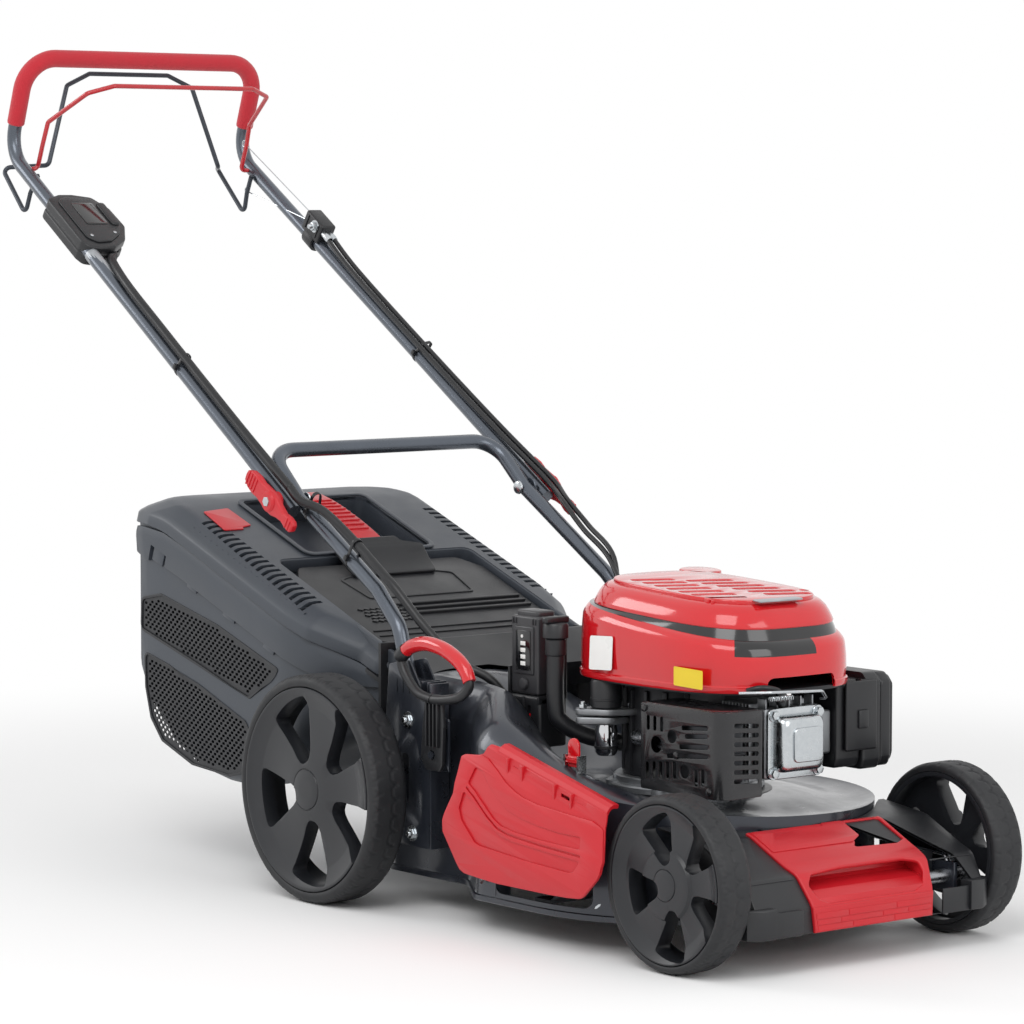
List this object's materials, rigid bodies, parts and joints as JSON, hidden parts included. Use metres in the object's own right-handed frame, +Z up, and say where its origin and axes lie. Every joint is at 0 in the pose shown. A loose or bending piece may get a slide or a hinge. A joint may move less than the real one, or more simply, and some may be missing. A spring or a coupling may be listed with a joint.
{
  "type": "lawn mower",
  "caption": "Walk-behind petrol lawn mower with red engine cowl, folding handle, rear grass catcher, side discharge flap and large spoked rear wheels.",
  "frame": {"origin": "centre of the bounding box on the ground plane", "axes": "+Z up, -Y towards the front (direction of travel), -X towards the operator's right-hand side"},
  "size_m": [0.548, 1.5536, 1.061],
  "materials": {
    "deck_paint": "gloss",
    "black_plastic": "satin",
    "red_plastic": "gloss",
    "red_paint": "gloss",
    "handle_paint": "satin",
    "zinc": "satin",
    "steel": "satin",
    "cast_aluminium": "satin",
    "engine_paint": "satin",
    "dark_steel": "satin",
    "grey_paint": "satin",
    "rim_plastic": "satin",
    "tyre": "matte",
    "foam": "matte",
    "cable_jacket": "satin",
    "belt_rubber": "matte",
    "grey_plastic": "satin",
    "catcher_plastic": "matte"
  },
  "bodies": {
    "chassis": {"deck": "deck_paint", "front_panel": "black_plastic", "front_grip": "red_plastic", "drive_belt": "belt_rubber", "handle_brackets": "handle_paint", "handle_bolts": "zinc", "side_flap_rod": "zinc", "rear_frame": "black_plastic", "lower_handle": "handle_paint", "control_cables_lower": "cable_jacket", "engine_base": "cast_aluminium", "crankcase": "engine_paint", "engine_cylinder": "cast_aluminium", "valve_cover": "zinc", "muffler": "dark_steel", "muffler_guard": "dark_steel", "air_filter": "black_plastic", "cowl": "red_plastic", "cowl_grille": "red_plastic", "fuel_tank": "black_plastic", "starter_motor": "steel", "battery_dock": "black_plastic"},
    "front_axle": {"front_axle": "steel"},
    "rear_axle": {"rear_axle": "steel"},
    "drive_shaft": {"drive_shaft": "steel"},
    "gearbox": {"gearbox": "grey_plastic"},
    "gearbox_pulley": {"gearbox_pulley": "steel"},
    "height_link": {"height_link": "zinc"},
    "height_lever": {"height_lever": "black_plastic"},
    "front_wheel_right": {"rim_front_right": "rim_plastic", "tyre_front_right": "tyre"},
    "front_wheel_left": {"rim_front_left": "rim_plastic", "tyre_front_left": "tyre"},
    "rear_wheel_right": {"rim_rear_right": "rim_plastic", "tyre_rear_right": "tyre"},
    "rear_wheel_left": {"rim_rear_left": "rim_plastic", "tyre_rear_left": "tyre"},
    "side_flap": {"side_flap": "red_plastic"},
    "side_flap_latch": {"side_flap_latch": "red_plastic"},
    "rear_flap": {"rear_flap": "black_plastic"},
    "catcher": {"catcher_basket": "catcher_plastic", "catcher_lid": "catcher_plastic", "catcher_grip": "red_plastic", "catcher_screens": "catcher_plastic"},
    "upper_handle": {"upper_handle": "handle_paint", "foam_grip": "foam", "switch_box": "black_plastic", "cable_bracket": "black_plastic", "control_cables_upper": "cable_jacket"},
    "clamp_knob_right": {"clamp_knob_right": "red_plastic"},
    "clamp_knob_left": {"clamp_knob_left": "red_plastic"},
    "brake_bail": {"brake_bail": "grey_paint"},
    "drive_bail": {"drive_bail": "red_paint"},
    "start_button": {"start_button": "grey_plastic"},
    "rotor": {"crankshaft": "steel", "flywheel": "cast_aluminium", "blade": "dark_steel"},
    "fuel_cap": {"fuel_cap": "grey_plastic"},
    "dipstick": {"dipstick": "black_plastic"},
    "battery": {"battery": "grey_plastic"}
  },
  "joints": [
    {"name": "cut_height_rear", "type": "hinge", "parent": "chassis", "child": "rear_axle", "pos_m": [0, -0.1148, 0.12], "axis": [-1, 0, 0], "range_deg": [0, 38], "deforming": ["drive_belt"]},
    {"name": "cut_height_front", "type": "hinge", "parent": "chassis", "child": "front_axle", "pos_m": [0, -0.7348, 0.08], "axis": [-1, 0, 0], "range_deg": [0, 38]},
    {"name": "height_lever_swing", "type": "hinge", "parent": "chassis", "child": "height_lever", "pos_m": [-0.205, -0.2248, 0.195], "axis": [-1, 0, 0], "range_deg": [0, 38]},
    {"name": "height_link_pivot", "type": "hinge", "parent": "rear_axle", "child": "height_link", "pos_m": [0.15, -0.1028, 0.14], "axis": [-1, 0, 0], "range_deg": [-38, 0]},
    {"name": "gearbox_level", "type": "hinge", "parent": "rear_axle", "child": "gearbox", "pos_m": [0.1, -0.0568, 0.14], "axis": [-1, 0, 0], "range_deg": [-38, 0]},
    {"name": "gearbox_pulley_spin", "type": "hinge", "parent": "gearbox", "child": "gearbox_pulley", "pos_m": [0.1, -0.1288, 0.149], "axis": [0, 0, 1], "continuous": true},
    {"name": "drive_shaft_spin", "type": "hinge", "parent": "rear_axle", "child": "drive_shaft", "pos_m": [0, -0.0568, 0.14], "axis": [-1, 0, 0], "continuous": true},
    {"name": "front_wheel_right_spin", "type": "hinge", "parent": "front_axle", "child": "front_wheel_right", "pos_m": [-0.211, -0.6768, 0.1], "axis": [-1, 0, 0], "continuous": true},
    {"name": "front_wheel_left_spin", "type": "hinge", "parent": "front_axle", "child": "front_wheel_left", "pos_m": [0.211, -0.6768, 0.1], "axis": [-1, 0, 0], "continuous": true},
    {"name": "rear_wheel_right_spin", "type": "hinge", "parent": "rear_axle", "child": "rear_wheel_right", "pos_m": [-0.246, -0.0568, 0.14], "axis": [-1, 0, 0], "continuous": true},
    {"name": "rear_wheel_left_spin", "type": "hinge", "parent": "rear_axle", "child": "rear_wheel_left", "pos_m": [0.246, -0.0568, 0.14], "axis": [-1, 0, 0], "continuous": true},
    {"name": "side_flap_lift", "type": "hinge", "parent": "chassis", "child": "side_flap", "pos_m": [-0.232, -0.48118, 0.18935], "axis": [0, 0.9703, 0.2419], "range_deg": [0, 56], "stiffness_Nm_per_rad": 0.25, "springref_deg": -34.38},
    {"name": "side_flap_latch_press", "type": "hinge", "parent": "chassis", "child": "side_flap_latch", "pos_m": [-0.19, -0.4718, 0.214], "axis": [0, 1, 0], "range_deg": [0, 16], "stiffness_Nm_per_rad": 0.05, "springref_deg": -11.46},
    {"name": "rear_flap_lift", "type": "hinge", "parent": "chassis", "child": "rear_flap", "pos_m": [0, -0.0648, 0.306], "axis": [1, 0, 0], "range_deg": [0, 55]},
    {"name": "catcher_pull", "type": "slide", "parent": "chassis", "child": "catcher", "axis": [0, 0.9354, 0.3535], "range_m": [0, 0.26]},
    {"name": "handle_fold", "type": "hinge", "parent": "chassis", "child": "upper_handle", "pos_m": [0, 0.0802, 0.482], "axis": [1, 0, 0], "range_deg": [0, 135], "deforming": ["control_cables_lower"]},
    {"name": "clamp_knob_right_turn", "type": "hinge", "parent": "chassis", "child": "clamp_knob_right", "pos_m": [-0.226, 0.0802, 0.482], "axis": [1, 0, 0], "continuous": true},
    {"name": "clamp_knob_left_turn", "type": "hinge", "parent": "chassis", "child": "clamp_knob_left", "pos_m": [0.226, 0.0802, 0.482], "axis": [1, 0, 0], "continuous": true},
    {"name": "brake_bail_pull", "type": "hinge", "parent": "upper_handle", "child": "brake_bail", "pos_m": [0, 0.6922, 0.88936], "axis": [1, 0, 0], "range_deg": [0, 11.5], "stiffness_Nm_per_rad": 1.5, "springref_deg": -20.05},
    {"name": "drive_bail_pull", "type": "hinge", "parent": "upper_handle", "child": "drive_bail", "pos_m": [0, 0.7062, 0.89868], "axis": [-1, 0, 0], "range_deg": [0, 33], "stiffness_Nm_per_rad": 0.8, "springref_deg": -20.05},
    {"name": "start_button_press", "type": "slide", "parent": "upper_handle", "child": "start_button", "axis": [0, -0.83, -0.5577], "range_m": [0, 0.0028], "stiffness_N_per_m": 500, "springref_m": -0.002},
    {"name": "rotor_spin", "type": "hinge", "parent": "chassis", "child": "rotor", "pos_m": [0, -0.4468, 0.15], "axis": [0, 0, 1], "continuous": true},
    {"name": "fuel_cap_turn", "type": "hinge", "parent": "chassis", "child": "fuel_cap", "pos_m": [0.086, -0.3748, 0.396], "axis": [0, 0, 1], "range_deg": [0, 90]},
    {"name": "dipstick_turn", "type": "hinge", "parent": "chassis", "child": "dipstick", "pos_m": [-0.118, -0.3488, 0.352], "axis": [0, 0, 1], "range_deg": [0, 90]},
    {"name": "battery_lift", "type": "slide", "parent": "chassis", "child": "battery", "axis": [0, 0, 1], "range_m": [0, 0.06]}
  ],
  "couplings": [
    {"joint": "cut_height_front", "follows": "cut_height_rear", "ratio": 1},
    {"joint": "height_lever_swing", "follows": "cut_height_rear", "ratio": 1},
    {"joint": "height_link_pivot", "follows": "cut_height_rear", "ratio": -1},
    {"joint": "gearbox_level", "follows": "cut_height_rear", "ratio": -1},
    {"joint": "gearbox_pulley_spin", "follows": "rotor_spin", "ratio": 0.625},
    {"joint": "drive_shaft_spin", "follows": "rotor_spin", "ratio": 0.0125}
  ]
}
